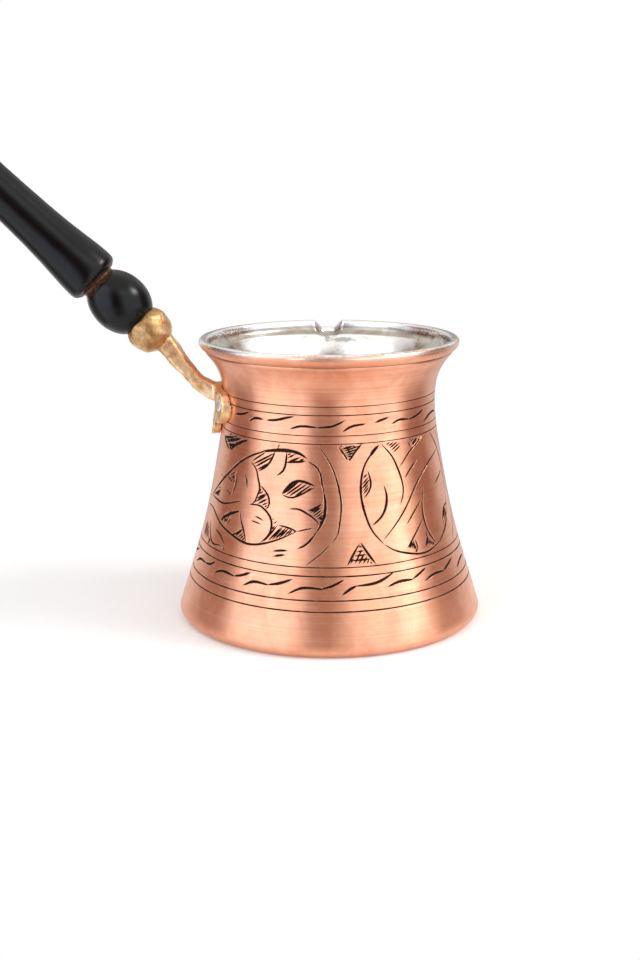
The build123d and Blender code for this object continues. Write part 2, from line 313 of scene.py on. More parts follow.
def lathe(path, columns, shape=None):
    """Points and faces of a path turned about the pot's axis, as (points, faces)."""
    angles = np.tile(columns, len(path))
    radii = np.repeat(path[:, 0], len(columns))
    heights = np.repeat(path[:, 1], len(columns))
    if shape:
        radii, heights = shape(angles, radii, heights)
    faces = []
    for row in range(len(path) - 1):
        for column in range(len(columns) - 1):
            first = row * len(columns) + column
            above = first + len(columns)
            faces.append((first, first + 1, above + 1, above))
    return round_pot(angles, radii, heights), faces


# ------------------------------------------------------- engraving: drawing
# Each cut is its width in millimetres and the (angle, height) points it runs through.
MEDALLION = (
    # outline: over the top, down the right, and the long curve underneath
    (0.62, ((-77.5, 35), (-66, 40.6), (-55, 45.6), (-44, 49.5), (-33, 51.8))),
    (0.85, ((-36, 51.4), (-28, 52.1), (-20, 52.3), (-14, 51.5), (-11, 50.4))),
    (0.50, ((-11.2, 50), (-6, 48.2), (-4, 45.2), (-2.7, 41.4))),
    (0.75, ((-2.8, 42.2), (-2.2, 39), (-2.6, 36), (-4.6, 33.2), (-6.4, 31.6))),
    (0.55, ((-5.6, 32.2), (-8, 30.3), (-10.5, 28.7), (-14.5, 27.4))),
    (0.55, ((-80, 32.6), (-72, 32.7), (-60, 30.1), (-48, 28.1), (-40, 27.1), (-28, 28.3),
            (-20, 30.3), (-14.5, 32))),
    (0.35, ((-15, 31.8), (-10, 32.6), (-7, 33))),
    # the line that runs beside it on the right
    (0.50, ((-5.5, 54), (0, 49.5), (3.5, 44.5), (5.1, 38.5), (4.3, 34), (1.5, 29.7), (0, 29))),
    (0.34, ((0.3, 29.2), (-3, 27), (-6, 25.5), (-10.5, 23.3))),
    # upper petal
    (0.50, ((-43, 48.4), (-38.5, 46.4), (-36.6, 43.8), (-35.3, 42), (-36.5, 39.5), (-38.2, 37.6),
            (-40.5, 37.1))),
    (0.50, ((-28, 52), (-30, 49.6), (-33, 47.5), (-37.5, 46))),
    (0.30, ((-25.8, 54), (-27, 52.5))),
    (0.55, ((-21.8, 52), (-22, 49.5), (-23.4, 46.9), (-26.8, 45.5))),
    (0.60, ((-21.8, 49.2), (-18, 49.5), (-14, 49.7), (-11.2, 50))),
    # the seed on its own at the right
    (0.65, ((-23.3, 41), (-20.3, 43), (-17, 44.5), (-12, 44.6), (-6.5, 43.5))),
    (0.45, ((-23.3, 41), (-19, 40.3), (-15.5, 40.8), (-11, 42.1), (-6.5, 43.4))),
    # lower petal
    (0.50, ((-35.2, 42.6), (-31, 40.8), (-29.2, 38.6), (-30.2, 36.9), (-31.3, 36.6))),
    (0.55, ((-40.5, 37.1), (-35, 37.4), (-30.5, 36.2), (-27.6, 34.4), (-27, 32), (-28.8, 29.6),
            (-32, 27.9))),
    (0.38, ((-37, 34.5), (-34, 34.2), (-31, 33.5))),
    (0.38, ((-39, 33.1), (-35.5, 33), (-32, 32.5))),
    # hatched leaf under the seed, and the stem that runs to the right edge
    (0.45, ((-24, 33.1), (-20, 32.8), (-14.5, 31.9))),
    (0.30, ((-26.5, 33.2), (-24, 34.1))),
    (0.30, ((-27, 34.7), (-26, 34.2))),
    (0.50, ((-19.5, 37.4), (-15, 37.6), (-10, 36.4), (-7, 35.2), (-4.2, 33.4))),
    (0.40, ((-11, 37.3), (-7, 37.9), (-3.5, 39.4))),
    # small leaves at the left
    (0.45, ((-60.5, 43), (-57, 42.2), (-54, 41.4))),
    (0.55, ((-52.5, 44.8), (-51.8, 42.6), (-52.6, 40), (-53.8, 38.2))),
    (0.34, ((-46, 45.2), (-43.3, 41.5), (-43, 40.7))),
    (0.55, ((-44.2, 43.9), (-43.4, 41.6))),
    (0.50, ((-76, 35.6), (-68, 35.4), (-60, 35.3), (-52, 36.5), (-46, 37.5))),
    (0.30, ((-60, 39.3), (-56, 38.5), (-53.5, 37.9))),
    (0.90, ((-60, 31), (-56, 32.4), (-51, 33.8), (-46, 34.9))),
    (0.50, ((-46, 34.9), (-44, 32.2), (-42, 30.4), (-39.5, 27.3))),
    (0.45, ((-51.5, 32.6), (-53, 31.2), (-54, 30))),
    (0.50, ((-42.5, 30.5), (-45.5, 29.2), (-49, 28.2))),
    # two short dashes under the outline
    (0.55, ((-25.5, 26.3), (-22, 26.7), (-18, 26.9))),
    (0.60, ((-25, 25), (-22, 25.5), (-18.8, 25.8))),
    # triangle above the left tip and leaf below it
    (0.55, ((-72, 52.6), (-66, 50.5), (-62, 49.5))),
    (0.85, ((-62, 49.4), (-56, 51.5), (-50, 53), (-46, 53.6))),
    (0.40, ((-62, 47), (-61, 46.3))),
    (0.50, ((-72, 29.5), (-68, 26.5), (-64, 24.4), (-60, 24.1), (-56, 24.6))),
    (0.50, ((-63, 28), (-58, 27.2), (-52, 24.8))),
)
MEDALLION_HATCH = (
    # slope in degrees, spacing in millimetres, corners of the hatched patch
    (31, 0.85, ((-43, 48.6), (-37.5, 46), (-33, 47.5), (-30.5, 48.7), (-28.5, 51.6), (-36, 51))),
    (27, 0.85, ((-21.5, 51.8), (-16, 51.6), (-11.5, 50.3), (-18, 49.5), (-21.8, 49.2))),
    (36, 0.72, ((-23.3, 41), (-20.3, 43), (-15, 44.6), (-9, 44), (-7, 43.4), (-15.5, 40.8),
            (-19, 40.4))),
    (30, 0.80, ((-35, 41.8), (-31, 40.8), (-29.5, 38.5), (-30.5, 37), (-37.5, 37.8))),
    (50, 0.60, ((-27.2, 33), (-18, 32.8), (-14.7, 32), (-20, 30.3), (-31, 28.1), (-27.2, 31))),
    (35, 0.58, ((-11, 37.3), (-3.5, 39.3), (-2.5, 36), (-4.5, 34), (-7, 35.3))),
    (35, 0.70, ((-60, 43.2), (-53, 44.8), (-52.5, 42), (-54, 41.5))),
    (28, 0.55, ((-74, 36), (-68, 38.5), (-64, 39.6), (-66, 36.3))),
    (62, 0.55, ((-60, 31), (-53, 32.8), (-54, 30))),
    (40, 0.62, ((-43, 30.7), (-48, 28.2), (-40, 27.3), (-41, 29.7))),
    (12, 0.50, ((-72, 52.4), (-62, 49.8), (-50, 53.4), (-62, 54))),
    (60, 0.60, ((-77, 28.4), (-71, 28.2), (-66, 24), (-77, 24))),
    (60, 0.55, ((-60, 24.4), (-53, 25.2), (-52, 23.9), (-58, 23.8))),
)
LEAF_PANEL = (
    # outline down the left, under, and up the right
    (0.55, ((25.5, 53.6), (22, 52), (17, 48.5), (14.8, 44), (14.6, 41), (16.2, 36),
            (19.5, 31.2), (24, 28))),
    (0.50, ((23.6, 28.2), (28, 26.4), (35, 24.9), (42, 24), (50, 24.3), (57, 25.4))),
    (0.70, ((56, 25.1), (60, 26.4), (64, 27.7), (70, 31), (75, 36))),
    (0.55, ((75, 36), (77, 41), (75.5, 46), (72.5, 49.5), (65, 54))),
    # big leaf with its vein, and the small hatched seed on its left edge
    (0.50, ((26.5, 53.8), (32, 50.5), (35.7, 46), (37.3, 42), (36.4, 39.4), (34.3, 37.3))),
    (0.45, ((18.3, 47.5), (19.6, 45), (19.4, 42.8), (15.6, 40))),
    (0.60, ((26.3, 43.2), (27.3, 41.2), (26.8, 38), (24, 35.2), (18.8, 33))),
    # long slanting stems
    (0.48, ((23.5, 29), (30, 32.3), (38, 36.8), (45, 41.2), (52, 44.3), (60, 46.7), (72, 48.8))),
    (0.45, ((36, 47), (44, 50.5), (56, 53.6))),
    (0.50, ((38.5, 43.8), (44, 46.4), (49, 48))),
    (0.75, ((25.5, 53.6), (22.5, 52.3), (19.6, 50.5))),
    (0.42, ((29.2, 53.2), (32, 54))),
    (0.42, ((30, 52.7), (34.8, 54))),
    (0.42, ((30.8, 52.2), (37, 53.9))),
    (0.42, ((31.8, 51.6), (38.3, 53.5))),
    (0.42, ((32.8, 51), (38.9, 52.8))),
    (0.45, ((43.3, 54), (44.5, 52.5), (45.8, 51))),
    (0.45, ((36.5, 32), (42, 34.8), (48.5, 37.8))),
    (0.45, ((34.8, 25.9), (40.5, 29), (48, 33))),
    (0.45, ((40.2, 28.2), (40.8, 26.5), (41.2, 24.9))),
    (0.45, ((49.3, 28.5), (47, 26.5), (45.8, 24.8))),
    # right-hand leaf
    (0.62, ((50.5, 40.2), (48.4, 36.4), (48.3, 31.6), (50.2, 28.2), (54, 25.1))),
    (0.42, ((62, 40.2), (66, 41), (74, 42.7))),
    (0.55, ((64.5, 28), (64, 30), (66, 32), (70, 33.4), (74, 33.4))),
    # the line that runs beside the outline on the right
    (0.50, ((73, 54), (80, 50), (84, 45), (84.6, 39), (82, 33), (77, 28), (70, 23.6))),
    (0.45, ((88, 47.5), (92, 44), (93.5, 40), (92, 36.6))),
    (0.50, ((88, 47.5), (90, 43.5), (92, 36.6))),
)
LEAF_PANEL_HATCH = (
    (45, 0.75, ((17.5, 47.4), (19.3, 45.6), (19.3, 43), (15.3, 40.4), (14.9, 44))),
    (30, 0.58, ((46, 51.3), (56, 53.7), (44.5, 54))),
    (60, 0.50, ((35, 26), (40, 28.4), (40.5, 24.9))),
    (60, 0.52, ((48, 28.5), (46, 25), (53, 25))),
    (40, 0.60, ((64.6, 28.6), (65, 31), (70, 33.2), (71.4, 32.4))),
)
SPACER = (
    (0.50, ((3.8, 54), (6.5, 52), (9.2, 49.6))),
    (0.55, ((9.2, 49.6), (12, 51.9), (16.5, 54.4))),
    (0.55, ((6.8, 23.2), (9, 25.5), (12.8, 29))),
    (0.60, ((13, 29.3), (15.5, 26.8), (19.5, 23.2))),
)
SPACER_HATCH = (
    (15, 0.62, ((4.6, 53.8), (9.2, 50), (15.6, 53.9))),
    (-62, 1.5, ((6, 54), (9.2, 51), (14, 54))),
    (58, 1.05, ((8, 23.6), (12.9, 28.4), (18.2, 23.6))),
    (2, 1.15, ((8, 24.2), (12.9, 28.4), (18.2, 24.2))),
)
UPPER_WAVES = (
    ((-60, 59.5), (-54, 59.9), (-49, 60.6), (-46, 61.2)),
    ((-47, 58.4), (-43, 59.6), (-36, 59.7)),
    ((-35, 59.6), (-29, 59.9), (-24, 60.6), (-18, 61.3)),
    ((-21, 57.8), (-16, 58.7), (-6, 58.6)),
    ((-7, 58.6), (0, 58.8), (4, 59.5), (8, 60.5)),
    ((6, 57.3), (10, 58.6), (19, 59.3)),
    ((23, 59.3), (28, 60), (32, 60.5)),
    ((33, 58.4), (38, 59.3), (46, 59.1)),
    ((45, 59), (52, 59.5), (60, 60.8)),
    ((58, 57.2), (64, 58.3), (72, 58.9), (80, 58.5)),
)
LOWER_WAVES = (
    ((-77, 16.7), (-72, 18.2), (-64, 18.4)),
    ((-65, 18.4), (-60, 18.8), (-56, 20.3)),
    ((-56, 17), (-52, 18.3), (-42, 18.2)),
    ((-43, 18.2), (-39, 18.9), (-34, 20.2)),
    ((-37.5, 16.4), (-33, 17.9), (-25, 17.8)),
    ((-26, 17.8), (-20, 18.7), (-15, 20)),
    ((-17, 16.1), (-12, 17.7), (-2, 17.7)),
    ((-4, 17.7), (1, 18.6), (6, 20.2)),
    ((4, 16), (8, 17.7), (11, 18.5)),
    ((10, 18.3), (19, 18.8), (27, 20.8)),
    ((23, 17.3), (28, 18.2), (36, 18.1)),
    ((35, 18.1), (39, 19), (44, 20.3)),
    ((41, 16.8), (47, 17.9), (55, 17.8)),
    ((54, 17.8), (59, 18.8), (64, 19.9)),
    ((66, 16.5), (72, 17.7), (80, 18)),
)
WAVE = ((-12, -1.5), (-7, -0.2), (1, 0.1), (6, 0.6), (12, 1.9))    # one wave about its middle
WAVE_LENGTH = 24                            # degrees round the pot that it takes up
UPPER_WAVE_WIDTH, LOWER_WAVE_WIDTH = 0.62, 0.66
UPPER_BACK_WAVES = (96, 27, 8, 59.0)        # first angle, step, count and height of the rest
LOWER_BACK_WAVES = (92, 20, 10, 18.2)
PANEL_WAVER, BACK_WAVE_WAVER = 0.25, 0.8    # degrees that a repeated stroke strays by
HATCH_WIDTH = 0.47
HATCH_TILT = 0.06                           # how far from parallel the hatching strays
SHORTEST_HATCH = 0.35


def hatch(slope, spacing, patch):
    """Parallel cuts that fill a patch, as (width, points)."""
    corners = np.array(patch, float)
    scale = math.radians(1) * wall_radius(corners[:, 1].mean())
    flat = corners * (scale, 1)
    along = np.array([math.cos(math.radians(slope)), math.sin(math.radians(slope))])
    across = np.array([-along[1], along[0]])
    level = flat @ across
    cuts = []
    offset = level.min() + 0.6 * spacing
    while offset < level.max():
        ends = []
        for a, b in zip(flat, np.roll(flat, -1, axis=0)):
            low, high = a @ across - offset, b @ across - offset
            if low * high < 0:
                ends.append((a + (b - a) * low / (low - high)) @ along)
        ends.sort()
        for first, last in zip(ends[::2], ends[1::2]):
            if last - first > SHORTEST_HATCH:
                tilt = DICE.uniform(-HATCH_TILT, HATCH_TILT)
                start = first * along + offset * across
                finish = last * along + (offset + tilt * (last - first)) * across
                points = [start / (scale, 1), finish / (scale, 1)]
                cuts.append((HATCH_WIDTH * DICE.uniform(0.85, 1.15), points))
        offset += spacing * DICE.uniform(0.8, 1.2)
    return cuts


def shifted(cuts, angle, waver):
    """The same cuts further round the pot, drawn by hand a little differently."""
    moved = []
    for width, points in cuts:
        slip = (DICE.uniform(-waver, waver), DICE.uniform(-waver, waver) / 3)
        moved.append((width, [(a + angle + slip[0], z + slip[1]) for a, z in points]))
    return moved


def all_cuts():
    """Every cut of the engraving but the ring lines, once round the pot."""
    panel = list(MEDALLION + LEAF_PANEL + SPACER)
    for patch in MEDALLION_HATCH + LEAF_PANEL_HATCH + SPACER_HATCH:
        panel += hatch(*patch)
    cuts = panel + shifted(panel, 180, PANEL_WAVER)
    bands = (
        (UPPER_WAVES, UPPER_WAVE_WIDTH, UPPER_BACK_WAVES),
        (LOWER_WAVES, LOWER_WAVE_WIDTH, LOWER_BACK_WAVES),
    )
    for waves, width, (first, step, count, height) in bands:
        cuts += [(width, wave) for wave in waves]
        for i in range(count):
            middle = first + step * i
            wave = [(a * step / WAVE_LENGTH + middle, z + height) for a, z in WAVE]
            cuts += shifted([(width, wave)], 0, BACK_WAVE_WAVER)
    return cuts


# -------------------------------------------------------- engraving: cutting
class Cut:
    """One engraved cut: its middle line, half width and depth at each point."""

    def __init__(self, width, points, ring=False):
        line = np.array(points, float)
        scale = math.radians(1) * wall_radius(line[:, 1].mean())
        line = line * (scale, 1)
        if len(line) > 2 and not ring:
            line = cubic_through(line, line[1] - line[0], line[-1] - line[-2], 40)
        length = np.linalg.norm(np.diff(line, axis=0), axis=1).sum()
        count = max(3, int(length / LINE_STEP) + 1)
        line = evenly(line, count)
        along = np.gradient(line, axis=0)
        along /= np.linalg.norm(along, axis=1)[:, None]
        share = np.linspace(0, 1, count)
        belly = np.clip(np.sin(math.pi * share), 0, 1) ** 0.45
        taper = 1.0 if ring else STROKE_TIP + (1 - STROKE_TIP) * belly
        unsteady = RING_WAVER if ring else STROKE_WAVER
        waver = np.array([1 + unsteady * noise.noise((4.1 * width, *p)) for p in line * 0.55])
        self.half = 0.5 * CUT_WIDTH * width * taper * waver
        self.depth = 2 * STROKE_DEPTH * self.half
        side = np.column_stack([-along[:, 1], along[:, 0]]) * self.half[:, None]
        self.scale = scale
        self.line = line
        self.edges = (line + side, line - side)

    def paths(self):
        """Middle and both edges, as angles and heights."""
        return [path / (self.scale, 1) for path in (self.line, *self.edges)]

    def deepen(self, angles, heights, depths):
        """Raises the depth of the points that lie inside this cut."""
        margin = self.half.max()
        low, high = self.line.min(0) - margin, self.line.max(0) + margin
        x = angles * self.scale
        near = (x > low[0]) & (x < high[0]) & (heights > low[1]) & (heights < high[1])
        if not near.any():
            return
        points = np.column_stack([x[near], heights[near]])
        best = np.zeros(len(points))
        for i in range(len(self.line) - 1):
            start, run = self.line[i], self.line[i + 1] - self.line[i]
            t = np.clip((points - start) @ run / (run @ run), 0, 1)
            distance = np.linalg.norm(points - start - t[:, None] * run, axis=1)
            half = self.half[i] + t * (self.half[i + 1] - self.half[i])
            deep = self.depth[i] + t * (self.depth[i + 1] - self.depth[i])
            best = np.maximum(best, deep * (1 - distance / half))
        depths[near] = np.maximum(depths[near], best)


def make_cuts():
    """The cuts of the whole strip, those near the seam on both of its sides."""
    cuts = []
    for width, points in all_cuts():
        middle = np.mean([a for a, _ in points])
        home = 360 * round((SEAM + 180 - middle) / 360)
        placed = [(a + home, z) for a, z in points]
        cuts.append(Cut(width, placed))
        for other in (-360, 360):
            ghost = [(a + other, z) for a, z in placed]
            if min(a for a, _ in ghost) < SEAM + 361 and max(a for a, _ in ghost) > SEAM - 1:
                cuts.append(Cut(width, ghost))
    for height, width in RING_LINES:
        around = [(a, height) for a in np.arange(SEAM - 2, SEAM + 362.1, 2.0)]
        cuts.append(Cut(width, around, ring=True))
    return cuts


def cut_strip(columns):
    """The engraved part of the wall: angles, heights, depths and triangles."""
    cuts = make_cuts()
    flatten = math.radians(1) * STRIP_RADIUS
    rows = np.linspace(STRIP_LOW, STRIP_HIGH, STRIP_ROWS)
    points = [Vector((a * flatten, z)) for z in rows for a in columns]
    wide, tall = len(columns), len(rows)
    edges = []
    for row in (0, tall - 1):
        edges += [(row * wide + i, row * wide + i + 1) for i in range(wide - 1)]
    for column in (0, wide - 1):
        edges += [(i * wide + column, (i + 1) * wide + column) for i in range(tall - 1)]
    for cut in cuts:
        for path in cut.paths():
            first = len(points)
            points += [Vector((a * flatten, z)) for a, z in path]
            edges += [(first + i, first + i + 1) for i in range(len(path) - 1)]
    found, _, faces, _, _, _ = delaunay_2d_cdt(points, edges, [], 0, 1e-4, False)
    flat = np.array([tuple(p) for p in found])
    angles, heights = flat[:, 0] / flatten, flat[:, 1]
    faces = np.array([f for f in faces if len(f) == 3])
    turn, level = angles[faces].mean(1), heights[faces].mean(1)
    inside = (turn > SEAM) & (turn < SEAM + 360) & (level > STRIP_LOW) & (level < STRIP_HIGH)
    used, index = np.unique(faces[inside], return_inverse=True)
    faces = index.reshape(-1, 3)
    angles, heights = angles[used], heights[used]
    depths = np.zeros(len(angles))
    for cut in cuts:
        cut.deepen(angles, heights, depths)
    return angles, heights, depths, faces


def make_copper_body(material):
    """The spun and engraved copper wall, as one closed mesh."""
    columns = turn_columns()
    angles, heights, depths, triangles = cut_strip(columns)
    outward = 1 / np.hypot(1, wall_slope(heights))
    radii = wall_radius(heights) - depths * outward
    strip = round_pot(angles, radii, heights + depths * wall_slope(heights) * outward)
    points, faces, deep = [strip], [tuple(map(int, t)) for t in triangles], [depths]
    engraved = len(faces)
    rest = np.vstack([outer_top_path(TIN_PROUD), lip_path(TIN_PROUD), inner_path(TIN)[1:]])
    for path in (base_path(), rest):
        more, quads = lathe(path, columns, spout)
        base = sum(len(p) for p in points)
        points.append(more)
        faces += [tuple(base + i for i in q) for q in quads]
        # painted shade: the crease under the lip is darkened as if it were a cut
        creased = np.abs(np.repeat(path[:, 1], len(columns)) - CREASE_HEIGHT) < 0.1
        deep.append(CREASE_SHADE * creased)
    mesh = new_mesh("copper_pot", np.vstack(points), faces)
    store(mesh, "depth", np.concatenate(deep))
    kind = mesh.attributes.new("engraved", "INT", "FACE")
    kind.data.foreach_set("value", [int(i < engraved) for i in range(len(faces))])
    weld(mesh, SAME_PLACE)
    shade_pot(mesh)
    finish_piece(new_object("copper_pot", mesh), ["copper_body"], material)


def shade_pot(mesh):
    """Smooth shading for the wall, and flat faces inside the cuts."""
    smooth(mesh)
    normals = read(mesh.corner_normals, "vector", 3)
    corners = read(mesh.loops, "vertex_index", 1, np.int32)
    x, y, z = (read(mesh.vertices, "co", 3)[corners] / MM).T
    depth = read(mesh.attributes["depth"].data, "value")
    engraved = read(mesh.attributes["engraved"].data, "value", 1, np.int32)
    around = np.hypot(x, y) + 1e-9
    wall = np.column_stack([x / around, y / around, -wall_slope(z)])
    wall /= np.linalg.norm(wall, axis=1)[:, None]
    for polygon in mesh.polygons:
        if engraved[polygon.index]:
            loops = list(polygon.loop_indices)
            cut = depth[corners[loops]].max() > FLAT_DEPTH
            normals[loops] = polygon.normal if cut else wall[loops]
    mesh.normals_split_custom_set([tuple(n) for n in normals])
    # dark patina in the cuts, and painted shade in the crease under the lip
    store(mesh, "patina", smoothstep(depth / DARK_DEPTH))
    mesh.attributes.remove(mesh.attributes["engraved"])


# ------------------------------------------------------------ the tin's mesh
def tin_edge(angle):
    """Height down to which the tin wraps over the lip at this angle, ragged and worn."""
    turn = math.radians(angle)
    worn_at, worn_by = TIN_EDGE_WORN
    worn = smoothstep((math.cos(math.radians(angle - worn_at)) - 0.1) / 0.6)
    height = TIN_EDGE + worn_by * worn
    for waves, size in TIN_EDGE_RAGGED:
        height += size * noise.noise((waves * math.cos(turn), waves * math.sin(turn), 0))
    return height


def tin_rows(columns, inset):
    """Radii and heights of one face of the tin, row by row: ragged skirt, lip and inside."""
    edge = np.array([tin_edge(angle) for angle in columns])
    side_radii, side_heights = LIP_UNDERSIDE.T
    rows = []
    for share in np.linspace(0, 1, SKIRT_ROWS)[:-1]:
        height = edge + share * (LIP_SIDE[1] - edge)
        radius = np.interp(height, side_heights, side_radii)
        rows.append((radius - inset - TIN_FEATHER * (1 - share), height))
    path = np.vstack([lip_path(inset), inner_path(TIN if inset else 0.0)[1:]])
    rows += [(np.full(len(columns), r), np.full(len(columns), z)) for r, z in path]
    return rows, edge


def dull_zones(angle, radius, height):
    """Where the tin is dull: the band under the lip (tarnish and painted dark reflection), the
    sides of the mouth, the darker streaks painted at the spout.
    """
    low, high = BAND_UNDER_LIP
    band = smoothstep((height - low) / 0.6) * smoothstep((high - height) / 0.7)
    aside = np.abs(radius * np.sin(np.radians(angle)))
    in_mouth = smoothstep((height - FLARE_LOW) / 4) * smoothstep((high + 0.4 - height) / 0.6)
    sides = smoothstep((aside - TARNISH_SIDES) / 4 + 0.5) * in_mouth
    # darker streaks painted at the spout
    smudge = np.zeros_like(height)
    for middle, level, wide, tall in SPOUT_STREAKS:
        away = np.hypot((angle - middle) / wide, (height - level) / tall)
        smudge = np.maximum(smudge, smoothstep(1.2 - away))
    return band, sides, smudge


def make_tin_lining(material):
    """The tin inside the pot and over its lip, as one closed skin."""
    columns = turn_columns()
    wide = len(columns)
    points, faces, looks = [], [], []
    for inset in (0.0, TIN - TIN_PROUD):
        rows, edge = tin_rows(columns, inset)
        base = sum(len(p) for p in points)
        for radius, height in rows:
            points.append(round_pot(columns, *spout(columns, radius, height)))
            outside = (radius > LIP_SIDE[0] - WORN_BAND) & (height > edge - 0.1)
            wear = outside * smoothstep(1 - (height - edge) / WORN_HEIGHT)
            looks.append(np.column_stack([wear, *dull_zones(columns, radius, height)]))
        for row in range(len(rows) - 1):
            for column in range(wide - 1):
                first = base + row * wide + column
                quad = (first, first + 1, first + wide + 1, first + wide)
                faces.append(quad[::-1] if inset else quad)
    for column in range(wide - 1):
        faces.append((column + 1, column, base + column, base + column + 1))
    mesh = new_mesh("tin_skin", np.vstack(points), faces)
    for name, values in zip(("wear", "band", "sides", "smudge"), np.vstack(looks).T):
        store(mesh, name, values)
    weld(mesh, SAME_PLACE)
    smooth(mesh)
    finish_piece(new_object("tin_skin", mesh), ["tin_lining"], material)


# ------------------------------------------------------------ brass and rivets
def cast_copy(node, name, voxel, lumps, dimples, slot, material):
    """A CAD node's shape with softened edges and an uneven, hand-finished surface."""
    piece = new_object(name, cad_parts[node].data.copy())
    weld(piece.data, 1e-6)
    remesh = piece.modifiers.new("remesh", "REMESH")
    remesh.mode = "VOXEL"
    remesh.voxel_size = voxel * MM
    soften = piece.modifiers.new("soften", "SMOOTH")
    soften.factor = 0.5
    soften.iterations = 6
    bpy.context.view_layer.update()
    evaluated = piece.evaluated_get(bpy.context.evaluated_depsgraph_get())
    mesh = bpy.data.meshes.new_from_object(evaluated)
    piece.modifiers.clear()
    piece.data = mesh
    dimple_size, dimple_depth = dimples
    pushes = []
    for vertex in mesh.vertices:
        place = vertex.co / MM
        push = sum(height * noise.noise(place / size) for size, height in lumps)
        nearest = noise.voronoi(place / dimple_size)[0][0]
        push += dimple_depth * (nearest ** 2 - 0.25)
        pushes.append(vertex.normal * push * MM)
    for vertex, push in zip(mesh.vertices, pushes):
        vertex.co += push
    smooth(mesh)
    finish_piece(piece, [node], material)


# ---------------------------------------------------------------- wooden grip
HANDLE_START = (-51.75, 0.0, 82.7)
HANDLE_ELEVATION = 43.9
HANDLE_LEAN = math.radians(HANDLE_ELEVATION - 90)
BEAD = ((5.2, 0), (8.0, 7.5), (5.4, 14.4))
BEAD_DIRECTIONS = ((0.75, 0.7), (-0.8, 0.9))
GROOVE = ((5.25, 14.55), (5.1, 14.75), (5.1, 15.25), (5.3, 15.45))
SHOULDER = ((6.0, 15.5), (7.3, 16.5), (7.7, 18.5))
GRIP_BODY = ((7.7, 18.5), (6.9, 28.1), (6.0, 44), (5.8, 60), (6.7, 76), (7.6, 90))
GRIP_END = ((7.6, 90), (6.84, 99.3), (3.9, 103.7))
GRIP_TOP = ((3.4, 104.0), (1.9, 104.0), (1.4, 103.6), (1.1, 103.4))
GRIP_BORE = (1.1, 100.0)        # radius and bottom of the hole that the screw eye fills
GRIP_FOOT = (4.6, -0.5)         # radius and place of the bead's foot, let into the brass
GRIP_COLUMN_STEP = 4.5
LATHE_MARKS = (9.0, 2.2, 0.035)     # their size round and along the grip, and their height
BARE_FROM, BARE_TO = 13.6, 16.1     # the groove shows bare wood between these
BARE_RADIUS = 7.5                   # and within this distance of the middle
BARE_EDGE = (1.7, 0.35)             # size and height of the waves in the edge of the bare wood


def handle_matrix():
    """Stands a shape made about Z on the brass ball, along the handle."""
    place = Matrix.Translation(Vector(HANDLE_START) * MM)
    return place @ Matrix.Rotation(HANDLE_LEAN, 4, "Y")


def make_grip(material):
    """The turned grip: bead, groove and waisted body, slightly uneven from the lathe."""
    path = np.vstack([
        [(0, GRIP_FOOT[1]), GRIP_FOOT],
        cubic_through(BEAD, *BEAD_DIRECTIONS, 26),
        GROOVE,
        cubic_through(SHOULDER, (1.3, 1.0), (-0.02, 1), 8),
        cubic_through(GRIP_BODY, (-0.02, 1), (0, 1), 64)[1:],
        cubic_through(GRIP_END, (0, 1), (-1, 0.45), 14)[1:],
        GRIP_TOP,
        [GRIP_BORE, (0, GRIP_BORE[1])],
    ])
    mesh = new_mesh("wooden_grip", *lathe(path, np.arange(0, 360.1, GRIP_COLUMN_STEP)))
    weld(mesh, 1e-6)
    smooth(mesh)
    around, along, height = LATHE_MARKS
    ripple, ragged = BARE_EDGE
    bare = []
    for vertex in mesh.vertices:
        place = vertex.co / MM
        ring = Vector((place.x / around, place.y / around, place.z / along))
        out = Vector((place.x, place.y, 0))
        if out.length > 3:
            vertex.co += out.normalized() * height * noise.noise(ring) * MM
        inside = min(place.z - BARE_FROM, BARE_TO - place.z) + ragged * noise.noise(place / ripple)
        bare.append(float(smoothstep(inside / 0.5)) if out.length < BARE_RADIUS else 0.0)
    store(mesh, "bare", bare)
    mesh.transform(handle_matrix())
    finish_piece(new_object("wooden_grip", mesh), ["wood_grip"], material)


# ---------------------------------------------------------------- hanging eye
EYE_WIRE = 1.1
EYE_LOOP = 4.4
EYE_MIDDLE = 110.7              # distance of the loop's centre from the brass ball
EYE_SHANK_START = 93.0
EYE_SWEEP = 322.0
EYE_RINGS, EYE_SIDES = 90, 20   # rings of points along the wire and points in each
EYE_BLUNT = 0.55                # width of the wire's ends, as a share


def make_eye(material):
    """Bent brass wire: a shank that runs into a loop stopping just short of closing."""
    loop_low = EYE_MIDDLE - EYE_LOOP
    shank = [(0.0, s) for s in np.linspace(EYE_SHANK_START, loop_low - 1.6, 10)]
    turns = np.radians(np.linspace(-78, -90 + EYE_SWEEP, 54))
    loop = [(EYE_LOOP * math.cos(t), EYE_MIDDLE + EYE_LOOP * math.sin(t)) for t in turns]
    path = evenly(np.vstack([shank, loop]), EYE_RINGS)
    along = np.gradient(path, axis=0)
    along /= np.linalg.norm(along, axis=1)[:, None]
    points, faces = [], []
    for i, (place, direction) in enumerate(zip(path, along)):
        radius = EYE_WIRE * (EYE_BLUNT if i in (0, EYE_RINGS - 1) else 1.0)
        for k in range(EYE_SIDES):
            turn = 2 * math.pi * k / EYE_SIDES
            out, across = radius * math.cos(turn), radius * math.sin(turn)
            points.append((place[0] - direction[1] * out, across, place[1] + direction[0] * out))
    for i in range(0, (EYE_RINGS - 1) * EYE_SIDES, EYE_SIDES):
        for k in range(EYE_SIDES):
            a, b = i + k, i + (k + 1) % EYE_SIDES
            faces.append((a, b, b + EYE_SIDES, a + EYE_SIDES))
    faces.append(tuple(range(EYE_SIDES))[::-1])
    faces.append(tuple(range(len(points) - EYE_SIDES, len(points))))
    mesh = new_mesh("screw_eye", points, faces)
    weld(mesh, 1e-7)
    smooth(mesh)
    mesh.transform(handle_matrix())
    finish_piece(new_object("screw_eye", mesh), ["hanging_eye"], material)


